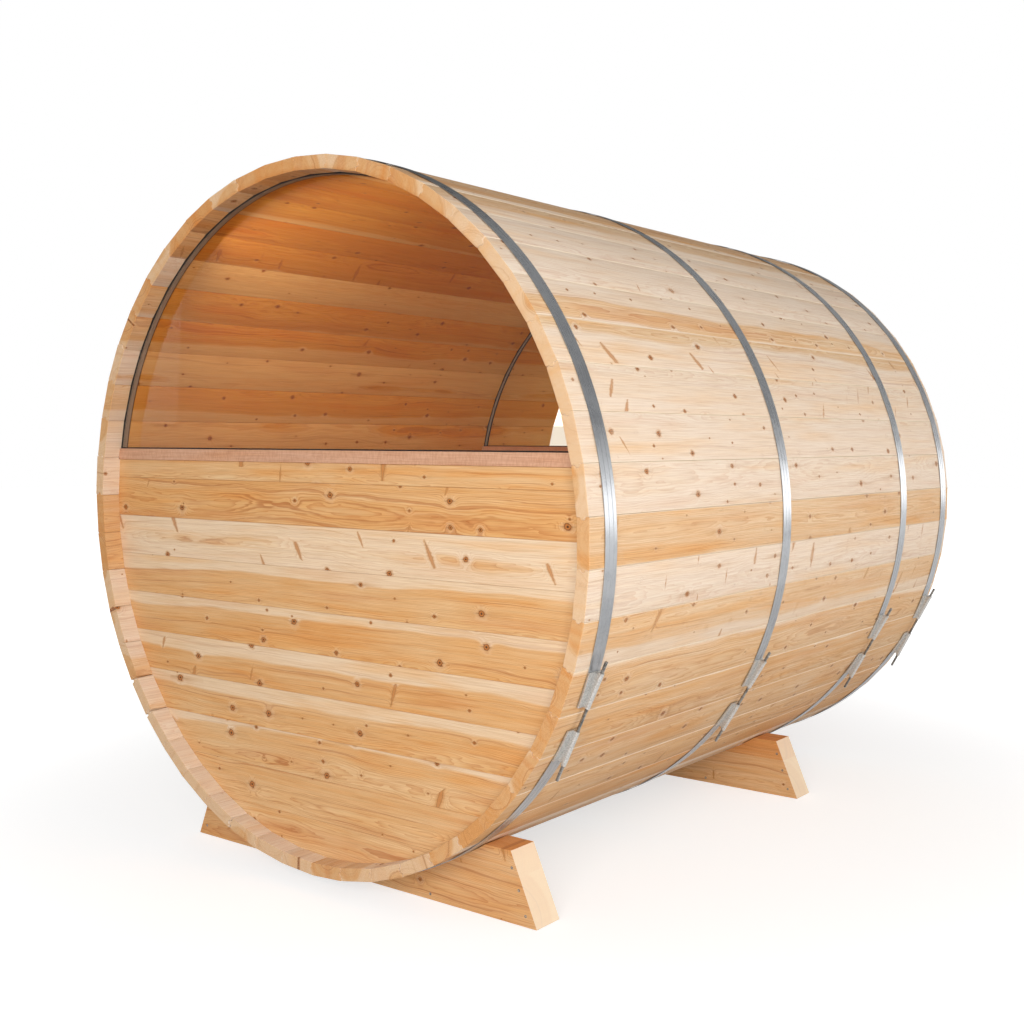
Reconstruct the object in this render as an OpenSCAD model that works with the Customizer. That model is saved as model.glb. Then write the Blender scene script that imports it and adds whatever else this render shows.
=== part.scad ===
// Barrel sauna: a tub of long cedar staves lying on two cradles, drawn tight by
// four steel hoops. Each end is closed by a board wall with a half-moon pane
// above it. The far wall stands well inside the barrel and leaves a porch.
// The barrel's axis runs along Y, with the near end towards -Y. Z = 0 is the floor.

/* [Barrel] */
// Radius of the barrel at the outer corners of its staves
barrel_r = 1067; // [800:1:1300]
// Length of the barrel along its axis
barrel_length = 2413; // [1800:1:3200]
// Number of staves around the barrel
stave_count = 50; // [40:10:60]
// Thickness of a stave
stave_t = 38; // [30:1:45]
// Radius of the rounded bead along one edge of a stave
bead_r = 8; // [5:0.5:9]
// Gap between two neighbouring staves
stave_gap = 0.4; // [0.2:0.1:0.9]
// Depth of the groove in the staves that holds an end wall
groove_depth = 8; // [5:0.5:10]

/* [End walls] */
// Distance from the near end of the staves to the near wall
near_recess = 62; // [30:1:150]
// Distance from the far wall to the far end of the staves, which is the porch
porch_depth = 465; // [150:1:700]
// Thickness of the wall boards
wall_t = 38; // [30:1:50]
// Height that one wall board covers
board_h = 130.5; // [100:0.5:160]
// Height of the ripped board right under the sill
ripped_board_h = 61; // [30:1:100]
// Gap between two neighbouring boards
board_gap = 0.4; // [0.2:0.1:0.9]
// Depth of the chamfer along the outer edges of a board
board_chamfer = 1.2; // [0.5:0.1:3]
// Height of the sill's lower face above the barrel's axis
sill_above_axis = 187; // [-100:1:350]
// Height of the sill
sill_h = 37; // [25:1:60]
// Distance that the sill stands proud of the boards
sill_proud = 5; // [0:0.5:12]

/* [Window] */
// Thickness of the glass
glass_t = 8; // [6:1:12]
// Thickness of the gasket's lip in front of the glass
gasket_lip = 3; // [2:0.5:5]
// Width of the gasket along the barrel
gasket_w = 27; // [20:1:34]
// Distance that the gasket stands out of the staves and the sill
gasket_proud = 4; // [2:0.5:8]
// Depth to which the glass sits in the gasket around the barrel
glass_bite = 6; // [3:0.5:9]
// Thickness of the gasket between the glass and the sill
gasket_floor = 1.5; // [1:0.5:1.5]

/* [Hoops] */
// Width of a hoop
hoop_w = 51; // [35:1:70]
// Thickness of a hoop
hoop_t = 2; // [1.5:0.5:4]
// Distance from the near wall's outer face inwards to the middle of the near hoop
near_hoop_in = 28; // [0:1:80]
// Distance of the middle hoop from halfway between its neighbours, towards the far end
middle_hoop_shift = 8; // [-200:1:200]
// Distance from the far wall's outer face outwards to the middle of the wall hoop
wall_hoop_out = 11; // [-60:1:60]
// Distance from the far end to the middle of the porch hoop
porch_hoop_y = 55; // [30:1:80]

/* [Tighteners] */
// Angle of the near tightener below the side of the barrel
near_tightener_angle = 26; // [10:0.5:45]
// Angle of the middle tightener below the side of the barrel
middle_tightener_angle = 32.3; // [10:0.5:45]
// Angle of the wall tightener below the side of the barrel
wall_tightener_angle = 30; // [10:0.5:45]
// Angle of the porch tightener below the side of the barrel
porch_tightener_angle = 28; // [10:0.5:45]
// Length of a lug
lug_length = 103; // [70:1:130]
// Opening between the two lugs of a hoop
lug_opening = 73; // [40:1:120]
// Thickness of a lug's plate
lug_t = 3; // [2:0.5:5]
// Radius of the tube on a lug
tube_r = 7.5; // [6.5:0.5:12]
// Distance from the middle of the hoop to the rod, towards the far end
rod_shift = 5; // [-12:0.5:12]
// Radius of the threaded rod
rod_r = 4.75; // [3:0.25:5.5]
// Clearance around the rod in its tube
rod_clearance = 0.3; // [0.2:0.1:0.8]
// Length of the rod beyond the upper lug
upper_tail = 41; // [30:1:80]
// Length of the rod beyond the lower lug
lower_tail = 58; // [30:1:80]
// Width of a nut across its flats
nut_af = 14.3; // [10:0.1:18]
// Height of a nut
nut_h = 7; // [5:0.5:10]

/* [Cradles] */
// Height of the barrel's lowest corner above the floor
barrel_lift = 47; // [30:1:90]
// Length of a cradle along the floor
cradle_length = 1524; // [1200:1:1800]
// Thickness of a cradle along the barrel
cradle_t = 102; // [60:1:140]
// Height of a cradle's lower timber
beam_h = 140; // [110:1:180]
// Height of the blocks on top of a cradle's lower timber
block_h = 72; // [40:1:100]
// Distance that a cradle's ends lean inwards over its height
cradle_lean = 94; // [40:1:160]
// Distance from the near wall's outer face inwards to the middle of the near cradle
near_cradle_in = 143; // [130:1:350]
// Distance from the far wall's outer face inwards to the middle of the far cradle
far_cradle_in = 180; // [130:1:350]
// Clearance between the barrel and its cradles
seat_gap = 0.3; // [0.2:0.1:0.9]

/* [Hidden] */
// Number of facets in the preview of small round shapes, and of those as wide as the barrel
$fn = 96;
round_fn = 360;

// Number of stave nodes around the barrel
stave_groups = 10;
// Fit of the walls and gaskets in their groove
fit = 0.3;
// Fit of a hoop around the corners of the staves
hoop_fit = 0.1;
// Angle that one stave takes
stave_step = 360 / stave_count;
// Distance from the axis to the outer and inner faces of a stave
outer_face = barrel_r * cos(stave_step / 2);
inner_face = outer_face - stave_t;
// Height of the barrel's axis above the floor
axis_h = barrel_r + barrel_lift;
// Ends of the barrel
near_end = -barrel_length / 2;
far_end = barrel_length / 2;
// Outer faces of the two walls' boards
near_face = near_end + near_recess;
far_face = far_end - porch_depth;
// Radius of the grooves' bottom, and of what stands in them
groove_r = inner_face + groove_depth;
head_r = groove_r - fit;
// Height of the sill's top above the axis
sill_top = sill_above_axis + sill_h;
// Radius of the pane, and the height of its lower edge above the axis
pane_r = inner_face - gasket_proud + glass_bite;
pane_bottom = sill_top + gasket_floor;
// Outer radius of a tightened hoop
hoop_r = barrel_r + hoop_t;
// Distance from the axis to the middle of a threaded rod
rod_line = hoop_r + lug_t + tube_r;
// Half the rod's stretch that the two lugs take
lug_reach = lug_opening / 2 + lug_length;
// Half the angles between the far ends and between the near ends of two lugs
lug_angle = asin(lug_reach / hoop_r);
opening_angle = asin(lug_opening / 2 / hoop_r);
// Places of the hoops and the cradles along the barrel
near_hoop_at = near_face + near_hoop_in;
wall_hoop_at = far_face + wall_hoop_out;
middle_hoop_at = (near_hoop_at + wall_hoop_at) / 2 + middle_hoop_shift;
porch_hoop_at = far_end - porch_hoop_y;
near_cradle_at = near_face + near_cradle_in;
far_cradle_at = far_face - far_cradle_in;
// Length by which a cut runs on past a face, and a joined shape into its neighbour
overrun = 1;

wood = "burlywood";
dark_wood = "peru";
steel = "silver";
zinc = "darkgray";

// Extrudes an outline in the plane of X and Z along the barrel, from one place to another
module along(from, to) {
    translate([0, to, axis_h]) rotate([90, 0, 0]) linear_extrude(to - from) children();
}

// ---------- staves ----------

// Centre of the bead on a stave's right edge
function bead_centre() =
    let (mid = inner_face + stave_t / 2)
    [mid * tan(stave_step / 2) - stave_gap / 2, mid];

// Outline of the stave at the top, with a bead on the right and a cove on the left
module stave_outline() {
    outer_half = outer_face * tan(stave_step / 2) - stave_gap / 2;
    inner_half = inner_face * tan(stave_step / 2) - stave_gap / 2;
    difference() {
        union() {
            polygon([
                [-outer_half, outer_face],
                [outer_half, outer_face],
                [inner_half, inner_face],
                [-inner_half, inner_face]
            ]);
            translate(bead_centre()) circle(bead_r);
        }
        rotate(stave_step) translate(bead_centre()) circle(bead_r + stave_gap);
    }
}

// The groove for an end wall, wide for the boards and narrow for the pane's gasket
module groove(from, to, pane_from, pane_to) {
    along(from, to) intersection() {
        circle(groove_r, $fn = round_fn);
        translate([-barrel_r, -barrel_r]) square([2 * barrel_r, barrel_r + sill_top + fit]);
    }
    along(pane_from, pane_to) circle(groove_r, $fn = round_fn);
}

// One stave, counted clockwise from the joint at the top
module stave(i) {
    difference() {
        along(near_end, far_end) rotate(-(i + 0.5) * stave_step) stave_outline();
        groove(near_face - fit, near_face + wall_t + fit, near_face - fit, near_face + gasket_w + fit);
        groove(far_face - wall_t - fit, far_face + fit, far_face - gasket_w - fit, far_face + fit);
    }
}

// One node's share of the staves, counted clockwise from the top
module staves(group) {
    per_group = stave_count / stave_groups;
    color(group % 2 == 0 ? wood : dark_wood)
        for (i = [0 : per_group - 1]) stave(group * per_group + i);
}

// ---------- end walls ----------

// Places a wall that is modelled at the near end, or its mirror image at the far end
module at_wall(far) {
    if (far) translate([0, far_face, 0]) mirror([0, 1, 0]) children();
    else translate([0, near_face, 0]) children();
}

// Outline of the circle's part between two heights above the axis
module slice(radius, low, high) {
    intersection() {
        circle(radius, $fn = round_fn);
        translate([-radius, low]) square([2 * radius, high - low]);
    }
}

// The board between two heights, with its outer edges chamfered
module board(low, high) {
    body_low = low + board_gap / 2;
    body_high = high - board_gap / 2;
    intersection() {
        along(0, wall_t) circle(head_r, $fn = round_fn);
        translate([-barrel_r, 0, axis_h]) rotate([90, 0, 90]) linear_extrude(2 * barrel_r) polygon([
            [0, body_low + board_chamfer],
            [board_chamfer, body_low],
            [wall_t, body_low],
            [wall_t, body_high],
            [board_chamfer, body_high],
            [0, body_high - board_chamfer]
        ]);
    }
}

// The boards of a wall: whole ones from the lowest, and a ripped one under the sill
module wall_boards(far) {
    wall_bottom = -head_r - overrun;
    first_joint = sill_above_axis - ripped_board_h;
    whole = floor((first_joint - wall_bottom) / board_h);
    color(wood) at_wall(far) {
        board(first_joint, sill_above_axis);
        for (i = [0 : whole - 1]) board(first_joint - (i + 1) * board_h, first_joint - i * board_h);
        board(wall_bottom, first_joint - whole * board_h);
    }
}

// The rail that caps the boards and carries the pane
module sill(far) {
    color(dark_wood) at_wall(far) union() {
        along(0, wall_t) slice(head_r, sill_above_axis, sill_top);
        along(-sill_proud, overrun) slice(inner_face - fit, sill_above_axis, sill_top);
    }
}

// The half-moon gasket, with its slot for the pane
module gasket(far) {
    color("dimgray") at_wall(far) difference() {
        along(0, gasket_w) difference() {
            slice(head_r, sill_top, barrel_r);
            slice(inner_face - gasket_proud, sill_top + gasket_proud, barrel_r);
        }
        along(gasket_lip, gasket_lip + glass_t) slice(pane_r, pane_bottom, barrel_r);
    }
}

// The half-moon pane
module glass(far) {
    color("sienna", 0.5) at_wall(far)
        along(gasket_lip, gasket_lip + glass_t) slice(pane_r, pane_bottom, barrel_r);
}

// ---------- hoops and tighteners ----------

// Places a tightener: X points outwards, Z along the rod, and Y along the barrel
module at_tightener(y, angle) {
    translate([0, y, axis_h]) rotate([0, angle, 0]) children();
}

// Extrudes an outline over the width of a hoop, in a tightener's own frame
module across_hoop() {
    translate([0, hoop_w / 2, 0]) rotate([90, 0, 0]) linear_extrude(hoop_w) children();
}

// Outline of a ring between two radii and two angles, all on one side of the barrel
module ring_part(inner, outer, from, to) {
    reach = 2 * outer;
    intersection() {
        difference() {
            circle(outer, $fn = round_fn);
            circle(inner, $fn = round_fn);
        }
        polygon([[0, 0], reach * [cos(from), sin(from)], reach * [cos(to), sin(to)]]);
    }
}

// A hoop that is open between its lugs
module hoop(y, angle) {
    reach = 2 * hoop_r;
    half = opening_angle;
    color(steel) along(y - hoop_w / 2, y + hoop_w / 2) rotate(-angle) difference() {
        circle(hoop_r, $fn = round_fn);
        circle(barrel_r + hoop_fit, $fn = round_fn);
        polygon([[0, 0], reach * [cos(half), sin(half)], reach * [cos(half), -sin(half)]]);
    }
}

// One lug: a plate on the hoop, a tube along the rod and a web between them
module lug() {
    start = lug_opening / 2;
    web_foot = hoop_r * cos(lug_angle);
    difference() {
        union() {
            across_hoop() ring_part(hoop_r, hoop_r + lug_t, opening_angle, lug_angle);
            intersection() {
                union() {
                    translate([rod_line, rod_shift, start]) cylinder(lug_length, tube_r, tube_r);
                    translate([web_foot, rod_shift - tube_r, start])
                        cube([rod_line - web_foot, 2 * tube_r, lug_length]);
                }
                across_hoop() difference() {
                    circle(2 * hoop_r, $fn = round_fn);
                    circle(hoop_r, $fn = round_fn);
                }
            }
        }
        translate([rod_line, rod_shift, 0])
            cylinder(2 * lug_reach, rod_r + rod_clearance, rod_r + rod_clearance);
    }
}

// The two lugs of a hoop
module lugs(y, angle) {
    color(zinc) at_tightener(y, angle) {
        lug();
        mirror([0, 0, 1]) lug();
    }
}

// The threaded rod that draws two lugs together
module rod(y, angle) {
    low = -lug_reach - lower_tail;
    high = lug_reach + upper_tail;
    color(steel) at_tightener(y, angle)
        translate([rod_line, rod_shift, low]) cylinder(high - low, rod_r, rod_r);
}

// The two nuts on a rod, one against each lug
module nuts(y, angle) {
    color(zinc) at_tightener(y, angle) for (side = [0, 1]) mirror([0, 0, side])
        translate([rod_line, rod_shift, lug_reach]) difference() {
            cylinder(nut_h, nut_af / sqrt(3), nut_af / sqrt(3), $fn = 6);
            translate([0, 0, -overrun]) cylinder(nut_h + 2 * overrun, rod_r, rod_r);
        }
}

// ---------- cradles ----------

// Outline of a cradle between two heights above the floor, hollowed for the barrel
module cradle_outline(low, high) {
    whole_h = beam_h + block_h;
    half_low = cradle_length / 2 - cradle_lean * low / whole_h;
    half_high = cradle_length / 2 - cradle_lean * high / whole_h;
    difference() {
        translate([0, -axis_h]) polygon([
            [-half_low, low],
            [half_low, low],
            [half_high, high],
            [-half_high, high]
        ]);
        circle(barrel_r + seat_gap, $fn = round_fn);
    }
}

// The lower timber, which carries the barrel in a hollow seat
module cradle_beam(y) {
    color(wood) along(y - cradle_t / 2, y + cradle_t / 2) cradle_outline(0, beam_h);
}

// The two blocks on a lower timber, one on each side of the barrel
module cradle_blocks(y) {
    color(dark_wood) along(y - cradle_t / 2, y + cradle_t / 2) cradle_outline(beam_h, beam_h + block_h);
}

staves(0);  // right_top_staves
staves(1);  // right_shoulder_staves
staves(2);  // right_side_staves
staves(3);  // right_hip_staves
staves(4);  // right_bottom_staves
staves(5);  // left_bottom_staves
staves(6);  // left_hip_staves
staves(7);  // left_side_staves
staves(8);  // left_shoulder_staves
staves(9);  // left_top_staves
wall_boards(false);  // near_wall_boards
sill(false);  // near_sill
gasket(false);  // near_gasket
glass(false);  // near_glass
wall_boards(true);  // far_wall_boards
sill(true);  // far_sill
gasket(true);  // far_gasket
glass(true);  // far_glass
hoop(near_hoop_at, near_tightener_angle);  // near_hoop
hoop(middle_hoop_at, middle_tightener_angle);  // middle_hoop
hoop(wall_hoop_at, wall_tightener_angle);  // wall_hoop
hoop(porch_hoop_at, porch_tightener_angle);  // porch_hoop
lugs(near_hoop_at, near_tightener_angle);  // near_lugs
lugs(middle_hoop_at, middle_tightener_angle);  // middle_lugs
lugs(wall_hoop_at, wall_tightener_angle);  // wall_lugs
lugs(porch_hoop_at, porch_tightener_angle);  // porch_lugs
rod(near_hoop_at, near_tightener_angle);  // near_rod
rod(middle_hoop_at, middle_tightener_angle);  // middle_rod
rod(wall_hoop_at, wall_tightener_angle);  // wall_rod
rod(porch_hoop_at, porch_tightener_angle);  // porch_rod
nuts(near_hoop_at, near_tightener_angle);  // near_nuts
nuts(middle_hoop_at, middle_tightener_angle);  // middle_nuts
nuts(wall_hoop_at, wall_tightener_angle);  // wall_nuts
nuts(porch_hoop_at, porch_tightener_angle);  // porch_nuts
cradle_beam(near_cradle_at);  // near_cradle_beam
cradle_blocks(near_cradle_at);  // near_cradle_blocks
cradle_beam(far_cradle_at);  // far_cradle_beam
cradle_blocks(far_cradle_at);  // far_cradle_blocks
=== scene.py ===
# %% [markdown]
# # A barrel sauna
# The sauna is a tub of fifty cedar staves, laid on its side on two cradles and drawn
# tight by four steel hoops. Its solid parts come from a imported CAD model. This script
# loads them as a fixed frame, takes every place and size from it, and adds what a
# maker's eye looks for: eased edges, grain, knots, rolled steel, threads and screws.

import math
import random

import bmesh
import bpy
import numpy as np
from mathutils import Matrix, Vector


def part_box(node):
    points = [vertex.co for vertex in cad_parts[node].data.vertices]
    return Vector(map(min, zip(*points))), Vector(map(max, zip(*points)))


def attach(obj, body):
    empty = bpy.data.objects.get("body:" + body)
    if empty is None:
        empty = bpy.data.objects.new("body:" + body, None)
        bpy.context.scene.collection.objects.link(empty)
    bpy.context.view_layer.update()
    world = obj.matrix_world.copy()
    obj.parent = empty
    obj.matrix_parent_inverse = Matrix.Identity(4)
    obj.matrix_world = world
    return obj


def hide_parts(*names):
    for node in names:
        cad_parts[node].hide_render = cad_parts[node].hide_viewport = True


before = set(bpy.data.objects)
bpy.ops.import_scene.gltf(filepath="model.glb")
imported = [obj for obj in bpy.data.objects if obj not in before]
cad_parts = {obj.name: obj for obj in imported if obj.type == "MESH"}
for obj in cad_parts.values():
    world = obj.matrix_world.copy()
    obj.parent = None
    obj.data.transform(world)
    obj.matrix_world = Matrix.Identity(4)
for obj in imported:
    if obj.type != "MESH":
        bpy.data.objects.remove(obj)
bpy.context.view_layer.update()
print("parts in the frame:", len(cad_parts))

# %% [markdown]
# ## Measure the barrel
# A turned or coopered object is easiest to describe from its own axis. The staves'
# boxes give the axis height and the radius over the corners, and the flat on the side
# gives the distance to a stave's outer face. The angle between those two is half of
# what one stave takes, so the number of staves follows too.

# %% Measure the barrel
STAVE_NODES = [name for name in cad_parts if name.endswith("_staves")]
HOOPS = ["near", "middle", "wall", "porch"]


def corners(node):
    """A part's vertices, as rows of X, Y and Z."""
    return np.array([vertex.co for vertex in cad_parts[node].data.vertices])


stave_points = np.vstack([corners(name) for name in STAVE_NODES])
lowest = stave_points.min(axis=0)
highest = stave_points.max(axis=0)
axis_height = (highest[2] + lowest[2]) / 2
barrel_radius = (highest[2] - lowest[2]) / 2
outer_face = highest[0]
stave_count = round(math.pi / math.acos(outer_face / barrel_radius))
stave_angle = 2 * math.pi / stave_count
inner_corner = np.hypot(stave_points[:, 0], stave_points[:, 2] - axis_height).min()
inner_face = inner_corner * math.cos(stave_angle / 2)
stave_thickness = outer_face - inner_face
near_end = lowest[1]
far_end = highest[1]
print("staves:", stave_count, "of thickness", round(stave_thickness, 4))
print("axis height:", round(axis_height, 4), "radius:", round(barrel_radius, 4))

# %% [markdown]
# ## Short calls for shader nodes
# A procedural material is a small circuit of nodes. Written out in full it takes
# several lines for each node, so this class keeps one node tree and gives a short call
# for the nodes that a wood or metal needs most: sums, blends, noise and colour mixes.
# Every call takes plain numbers or the outputs of earlier calls.

# %% Short calls for shader nodes
class Wiring:
    """One node tree, with short calls that add a node and return its output."""

    def __init__(self, tree):
        self.tree = tree
        tree.nodes.clear()

    def add(self, kind, inputs=(), **settings):
        node = self.tree.nodes.new(kind)
        for name, value in settings.items():
            setattr(node, name, value)
        for name, value in dict(inputs).items():
            self.feed(node.inputs[name], value)
        return node

    def feed(self, socket, value):
        if isinstance(value, bpy.types.NodeSocket):
            self.tree.links.new(value, socket)
        elif hasattr(value, "__len__") and len(value) == 3 and socket.type == "RGBA":
            socket.default_value = (*value, 1)
        else:
            socket.default_value = value

    def calc(self, operation, *values):
        node = self.add("ShaderNodeMath", operation=operation)
        for socket, value in zip(node.inputs, values):
            self.feed(socket, value)
        return node.outputs[0]

    def plus(self, first, second):
        return self.calc("ADD", first, second)

    def minus(self, first, second):
        return self.calc("SUBTRACT", first, second)

    def times(self, first, second):
        return self.calc("MULTIPLY", first, second)

    def over(self, first, second):
        return self.calc("DIVIDE", first, second)

    def times_plus(self, first, second, third):
        return self.calc("MULTIPLY_ADD", first, second, third)

    def size(self, value):
        return self.calc("ABSOLUTE", value)

    def squared(self, value):
        return self.calc("POWER", value, 2.0)

    def length(self, first, second):
        """How far a point lies from the axis, from two measures square to each other."""
        return self.calc("SQRT", self.plus(self.squared(first), self.squared(second)))

    def fade(self, value):
        """1 where the value is zero, and quickly less as it grows."""
        return self.calc("EXPONENT", self.times(value, -1.0))

    def ramp(self, value, low, high, start=0.0, end=1.0, smooth=True):
        """Takes a value from low..high to start..end, held at both."""
        kind = "SMOOTHSTEP" if smooth else "LINEAR"
        inputs = {
            "Value": value,
            "From Min": low,
            "From Max": high,
            "To Min": start,
            "To Max": end,
        }
        return self.add("ShaderNodeMapRange", inputs, interpolation_type=kind).outputs[0]

    def between(self, share, start, end):
        """The value that lies this share of the way from start to end."""
        return self.ramp(share, 0.0, 1.0, start, end, smooth=False)

    def mix(self, amount, first, second, blend="MIX"):
        node = self.add("ShaderNodeMix", data_type="RGBA", blend_type=blend)
        self.feed(node.inputs["Factor"], amount)
        self.feed(node.inputs[6], first)
        self.feed(node.inputs[7], second)
        return node.outputs[2]

    def vector(self, x, y, z=0.0):
        inputs = {"X": x, "Y": y, "Z": z}
        return self.add("ShaderNodeCombineXYZ", inputs).outputs[0]

    def noise(self, vector, scale=1.0, detail=2.0, roughness=0.5):
        inputs = {"Vector": vector, "Scale": scale, "Detail": detail, "Roughness": roughness}
        return self.add("ShaderNodeTexNoise", inputs).outputs["Fac"]

    def chance(self, value):
        """Three random numbers that belong to one value."""
        noise = self.add("ShaderNodeTexWhiteNoise", {"W": value}, noise_dimensions="1D")
        return self.split(noise.outputs["Color"])

    def split(self, value):
        return self.add("ShaderNodeSeparateXYZ", {"Vector": value}).outputs

    def place(self):
        """A point's own X, Y and Z, in metres."""
        return self.add("ShaderNodeTexCoord").outputs["Object"]

    def tinted(self, amount, colour, tint):
        """The colour multiplied by a tint, as far as the amount says."""
        return self.mix(amount, colour, self.mix(1.0, colour, tint, "MULTIPLY"))

    def skin(self, colour, roughness, height, depth, strength=0.5, **more):
        """Ends the wiring of a finish: a Principled surface with a fine relief."""
        bump = self.add("ShaderNodeBump", {"Strength": strength, "Distance": depth})
        self.feed(bump.inputs["Height"], height)
        surface = self.add("ShaderNodeBsdfPrincipled", more)
        self.feed(surface.inputs["Base Color"], colour)
        self.feed(surface.inputs["Roughness"], roughness)
        self.feed(surface.inputs["Normal"], bump.outputs["Normal"])
        self.finish("ShaderNodeOutputMaterial", surface)

    def finish(self, kind, shader):
        """Joins the last shader to the tree's output."""
        self.feed(self.add(kind).inputs["Surface"], shader.outputs[0])


def new_material(name):
    """A material with an empty node tree, and its wiring."""
    material = bpy.data.materials.new(name)
    material.use_nodes = True
    return material, Wiring(material.node_tree)


def shader_group(name, inputs, outputs):
    """A new node group with these named sockets, its wiring and its two end nodes."""
    group = bpy.data.node_groups.new(name, "ShaderNodeTree")
    wire = Wiring(group)
    for label, kind in inputs.items():
        group.interface.new_socket(label, in_out="INPUT", socket_type="NodeSocket" + kind)
    for label, kind in outputs.items():
        group.interface.new_socket(label, in_out="OUTPUT", socket_type="NodeSocket" + kind)
    start = wire.add("NodeGroupInput").outputs
    end = wire.add("NodeGroupOutput").inputs
    return group, wire, start, end


def linear(red, green, blue):
    """A colour given in the 0 to 255 of a paint chart, as the shader's linear light."""
    shares = [value / 255 for value in (red, green, blue)]
    return tuple(((s + 0.055) / 1.055) ** 2.4 if s > 0.04 else s / 12.92 for s in shares)


print("a mid cedar in linear light:", [round(v, 3) for v in linear(226, 178, 124)])

# %% [markdown]
# ## Knots
# A knot is a branch that the saw has crossed. Each board has a handful, most of them
# small and round, and some cut lengthwise into a slanting spike. A Voronoi texture
# scatters one point to a cell, and each cell's random colour decides whether there is
# a knot, how large it is and whether it is a spike. The group puts out the distance
# from the knot's edge in knot radii, and a soft hump that bends the grain around it.

# %% The knot group
knots, wire, given, made = shader_group(
    "Cedar knots",
    dict.fromkeys(("Across", "Along", "Board", "Share", "Size"), "Float"),
    dict.fromkeys(("Edge", "Present", "Hump", "Dark", "Trail", "Check"), "Float"),
)
CELL_LONG = 0.15
CELL_WIDE = 0.062
SMALLEST_KNOT = 0.0022
KNOT_SPREAD = 0.0074
SPIKE_STRETCH = 5.5
SPIKE_SLANT = 1.4
cell_x = wire.over(given["Along"], CELL_LONG)
cell_y = wire.over(given["Across"], CELL_WIDE)
cell_y = wire.times_plus(given["Board"], 9.37, cell_y)
spot = wire.vector(cell_x, cell_y)
scatter = wire.add("ShaderNodeTexVoronoi", {"Vector": spot, "Scale": 1.0}, voronoi_dimensions="2D")
centre = wire.split(scatter.outputs["Position"])
dice = wire.split(scatter.outputs["Color"])
nature = wire.chance(wire.plus(given["Board"], 33.3))
off_x = wire.times(wire.minus(cell_x, centre[0]), CELL_LONG)
off_y = wire.times(wire.minus(cell_y, centre[1]), CELL_WIDE)
present = wire.calc("LESS_THAN", dice[0], given["Share"])
radius = wire.times_plus(wire.calc("POWER", dice[1], 1.6), KNOT_SPREAD, SMALLEST_KNOT)
radius = wire.times(radius, given["Size"])
spike_limit = wire.ramp(nature[0], 0.70, 0.72, 0.98, 0.64)
spike = wire.calc("GREATER_THAN", dice[2], spike_limit)
stretch = wire.times_plus(spike, SPIKE_STRETCH, 1.0)
slant = wire.times(wire.minus(nature[1], 0.5), SPIKE_SLANT)
slant = wire.times(slant, spike)
uneven = wire.noise(spot, scale=9.0, detail=2.0)
uneven = wire.ramp(uneven, 0.25, 0.75, 0.75, 1.3, smooth=False)
turned_x = wire.times_plus(off_y, slant, off_x)
turned_x = wire.times(turned_x, wire.times_plus(spike, 0.15, 0.85))
turned_y = wire.over(off_y, stretch)
reach = wire.length(turned_x, turned_y)
pointed = wire.plus(wire.size(turned_x), wire.size(turned_y))
reach = wire.times_plus(spike, wire.minus(pointed, reach), reach)
edge = wire.over(wire.times(reach, uneven), radius)
hump = wire.over(reach, wire.times_plus(radius, 1.8, 0.004))
hump = wire.fade(wire.squared(hump))
trail_x = wire.over(wire.size(off_x), wire.times(radius, 7.0))
trail_y = wire.squared(wire.over(off_y, radius))
trail = wire.fade(wire.plus(trail_x, trail_y))
trail = wire.times(trail, wire.calc("GREATER_THAN", nature[2], 0.45))
round_one = wire.calc("LESS_THAN", stretch, 2.0)
trail = wire.times(trail, round_one)
check_x = wire.over(wire.size(off_x), wire.times(radius, 2.2))
check_y = wire.over(off_y, wire.times_plus(radius, 0.14, 0.0006))
check = wire.fade(wire.plus(wire.squared(check_x), wire.squared(check_y)))
check = wire.times(check, wire.times(round_one, present))
wire.feed(made["Check"], check)
wire.feed(made["Edge"], edge)
wire.feed(made["Present"], present)
wire.feed(made["Hump"], wire.times(wire.times(hump, present), radius))
wire.feed(made["Dark"], wire.times_plus(spike, -1.0, wire.ramp(dice[1], 0.0, 0.6, 0.55, 1.0)))
wire.feed(made["Trail"], wire.times(trail, present))
print("knot cells measure", CELL_LONG, "by", CELL_WIDE)

# %% [markdown]
# ## Cedar
# Wood looks like wood on every face when its rings are worked out in three dimensions.
# The group imagines the log that a board came from: a pith line beside or below the
# board, rings at a growing distance from it, and pale sapwood beyond a certain ring.
# A slow wander of the pith along the board draws the pointed cathedral figure on flat
# faces, and the same sum draws arcs on the end grain. Knots push the rings aside.

# %% The cedar group
NARROWEST_RING = 0.0024
RING_SPREAD = 0.0020
NEAREST_PITH = 0.012
PITH_SPREAD = 0.05
MEASURES = ("Across", "Along", "Depth", "Board")
CHOICES = ("Tone", "Sapwood", "Pith", "Knots", "Knot size", "Planing")
cedar, wire, given, made = shader_group(
    "Cedar",
    dict.fromkeys(MEASURES + CHOICES, "Float"),
    {"Color": "Color", "Roughness": "Float", "Height": "Float", "Pale": "Float"},
)
first = wire.chance(wire.plus(given["Board"], 0.37))
second = wire.chance(wire.plus(given["Board"], 71.3))
along = wire.times_plus(first[0], 23.0, given["Along"])
board_lane = wire.times(given["Board"], 5.71)


def board_noise(along_scale, across_scale, **settings):
    """Noise that runs along the board and differs from board to board."""
    across = wire.times(given["Across"], across_scale)
    return wire.noise(wire.vector(wire.times(along, along_scale), across, board_lane), **settings)


knot_inputs = {
    "Across": given["Across"],
    "Along": along,
    "Board": given["Board"],
    "Share": given["Knots"],
    "Size": given["Knot size"],
}
knot = wire.add("ShaderNodeGroup", knot_inputs, node_tree=knots).outputs

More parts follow.
